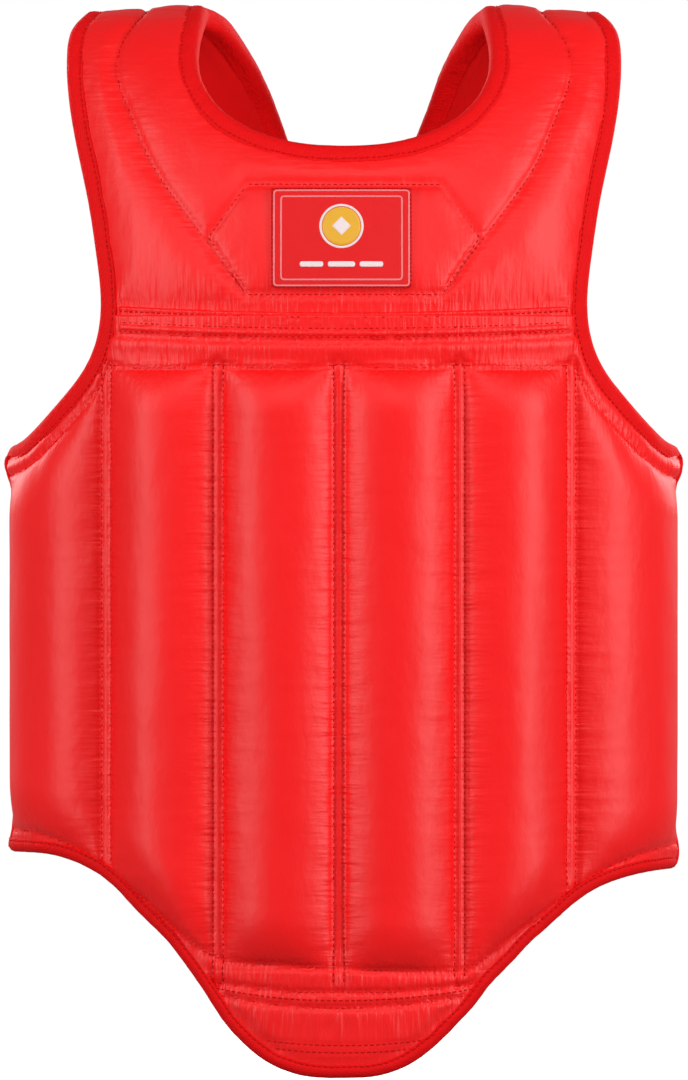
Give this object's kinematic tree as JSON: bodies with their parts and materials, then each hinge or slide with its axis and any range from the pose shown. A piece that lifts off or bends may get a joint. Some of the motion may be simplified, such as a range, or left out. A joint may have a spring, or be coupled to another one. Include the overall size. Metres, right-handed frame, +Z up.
{
  "type": "chest protector",
  "caption": "Padded body protector vest with upright foam channels, yoke, broad shoulder straps, back leaf, elastic side belts with grip tabs and a rounded lower flap",
  "frame": {"origin": "the middle of the shoulder line, level with the undersides of the straps, where the vest hangs on its wearer", "axes": "+Z up along the wearer's body; the front faces -Y; +X is the wearer's left"},
  "size_m": [0.3862, 0.2457, 0.6001],
  "materials": {
    "cover": "satin coated cloth, stitched",
    "lining": "plain woven lining",
    "foam": "closed-cell foam, hidden inside the covers",
    "tape": "folded woven tape",
    "badge": "woven patch",
    "badge_print": "stitched thread",
    "badge_gold": "gold coloured thread",
    "loop": "looped pile",
    "hook": "stiff plastic hooks on tape",
    "webbing": "ribbed elastic webbing"
  },
  "bodies": {
    "front": {"torso_lining": "lining", "torso_base_foam": "foam", "foam_bar_side_right": "foam", "foam_bar_outer_right": "foam", "foam_bar_inner_right": "foam", "foam_bar_inner_left": "foam", "foam_bar_outer_left": "foam", "foam_bar_side_left": "foam", "torso_cover": "cover", "yoke_lining": "lining", "chest_foam": "foam", "strap_foam_left": "foam", "strap_foam_right": "foam", "yoke_cover": "cover", "neck_binding": "tape", "armhole_binding_left": "tape", "armhole_binding_right": "tape", "hem_binding_left": "tape", "hem_binding_right": "tape", "yoke_band": "tape", "side_tape_left": "tape", "side_tape_right": "tape", "chest_panel": "cover", "badge": "badge", "badge_frame": "badge_print", "badge_roundel": "badge_gold", "badge_bar": "badge_print"},
    "back_leaf": {"back_lining": "lining", "back_strap_lining": "lining", "back_foam": "foam", "back_upper_foam": "foam", "back_strap_foam_left": "foam", "back_strap_foam_right": "foam", "back_cover": "cover", "back_strap_cover": "cover", "back_neck_binding": "tape", "back_edge_binding_left": "tape", "back_edge_binding_right": "tape", "back_hem_binding": "tape", "loop_patch_left": "loop", "loop_patch_right": "loop"},
    "lower_flap": {"flap_lining": "lining", "flap_foam": "foam", "flap_cover": "cover", "flap_binding": "tape"},
    "left_belt": {"belt_left": "webbing"},
    "right_belt": {"belt_right": "webbing"},
    "left_tab": {"tab_left": "webbing", "hook_patch_left": "hook"},
    "right_tab": {"tab_right": "webbing", "hook_patch_right": "hook"}
  },
  "joints": [
    {"name": "shoulder_fold", "type": "hinge", "parent": "front", "child": "back_leaf", "pos_m": [0, 0, 0], "axis": [-1, 0, 0], "range_deg": [0, 24]},
    {"name": "lower_flap_fold", "type": "hinge", "parent": "front", "child": "lower_flap", "pos_m": [0, -0.1123, -0.536], "axis": [-1, 0, 0], "range_deg": [-8, 60]},
    {"name": "left_belt_swing", "type": "hinge", "parent": "front", "child": "left_belt", "pos_m": [0.1862, -0.0012, -0.3275], "axis": [0, 0, -1], "range_deg": [0, 115]},
    {"name": "right_belt_swing", "type": "hinge", "parent": "front", "child": "right_belt", "pos_m": [-0.1862, -0.0012, -0.3275], "axis": [0, 0, 1], "range_deg": [0, 115]},
    {"name": "left_tab_peel", "type": "hinge", "parent": "left_belt", "child": "left_tab", "pos_m": [0.06483, 0.11326, -0.3275], "axis": [0, 0, -1], "range_deg": [0, 100]},
    {"name": "right_tab_peel", "type": "hinge", "parent": "right_belt", "child": "right_tab", "pos_m": [-0.06483, 0.11326, -0.3275], "axis": [0, 0, 1], "range_deg": [0, 100]}
  ]
}
